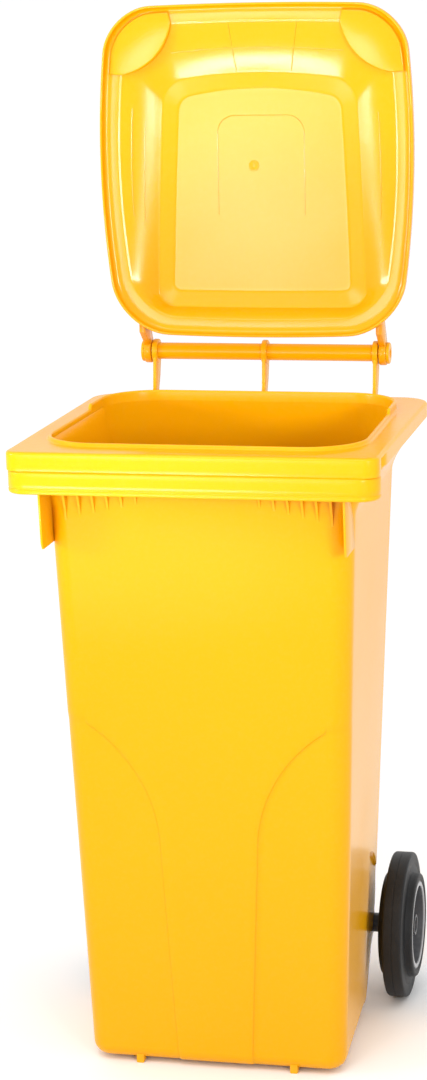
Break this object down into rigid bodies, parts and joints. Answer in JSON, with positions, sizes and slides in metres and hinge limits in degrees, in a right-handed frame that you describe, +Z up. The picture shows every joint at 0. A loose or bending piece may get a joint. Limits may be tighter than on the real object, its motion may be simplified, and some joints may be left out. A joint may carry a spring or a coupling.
{
  "type": "wheelie bin",
  "caption": "Tall two-wheel refuse bin with a tapered tub, flared rim, deep front lip, tube handle and hinged tray-shaped lid held open.",
  "frame": {"origin": "on the floor, under the middle of the bin's overall box", "axes": "+Z up, -Y towards the front lip, +X to the right of someone facing the front"},
  "size_m": [0.477, 0.51, 1.3888],
  "materials": {
    "yellow_body": "glossy injection-moulded polyethylene",
    "yellow_lid": "glossy injection-moulded polyethylene",
    "axle_steel": "zinc plated",
    "black_plastic": "satin moulded",
    "wheel_plastic": "satin moulded",
    "tyre_rubber": "matte solid rubber",
    "grey_plastic": "satin moulded",
    "spring_steel": "plain drawn wire"
  },
  "bodies": {
    "bin": {"bin_tub": "yellow_body", "bin_rim": "yellow_body", "lip_ribs": "yellow_body", "handle_brackets": "yellow_body", "handle_tube": "yellow_body", "left_hinge_pin": "yellow_body", "right_hinge_pin": "yellow_body", "wheel_axle": "axle_steel", "left_axle_spacer": "black_plastic", "right_axle_spacer": "black_plastic"},
    "lid": {"lid": "yellow_lid"},
    "left_wheel": {"left_wheel_rim": "wheel_plastic", "left_tyre": "tyre_rubber", "left_lock_spring": "spring_steel"},
    "right_wheel": {"right_wheel_rim": "wheel_plastic", "right_tyre": "tyre_rubber", "right_lock_spring": "spring_steel"},
    "left_plunger": {"left_lock_plunger": "grey_plastic"},
    "right_plunger": {"right_lock_plunger": "grey_plastic"}
  },
  "joints": [
    {"name": "lid_hinge", "type": "hinge", "parent": "bin", "child": "lid", "pos_m": [0, 0.238, 0.905], "axis": [-1, 0, 0], "range_deg": [-91, 170]},
    {"name": "left_wheel_spin", "type": "hinge", "parent": "bin", "child": "left_wheel", "pos_m": [-0.204, 0.141, 0.102], "axis": [-1, 0, 0], "continuous": true},
    {"name": "right_wheel_spin", "type": "hinge", "parent": "bin", "child": "right_wheel", "pos_m": [0.204, 0.141, 0.102], "axis": [-1, 0, 0], "continuous": true},
    {"name": "left_lock_slide", "type": "slide", "parent": "left_wheel", "child": "left_plunger", "axis": [0, 0, -1], "range_m": [0, 0.003], "stiffness_N_per_m": 600, "springref_m": -0.004, "deforming": ["left_lock_spring"]},
    {"name": "right_lock_slide", "type": "slide", "parent": "right_wheel", "child": "right_plunger", "axis": [0, 0, -1], "range_m": [0, 0.003], "stiffness_N_per_m": 600, "springref_m": -0.004, "deforming": ["right_lock_spring"]}
  ]
}
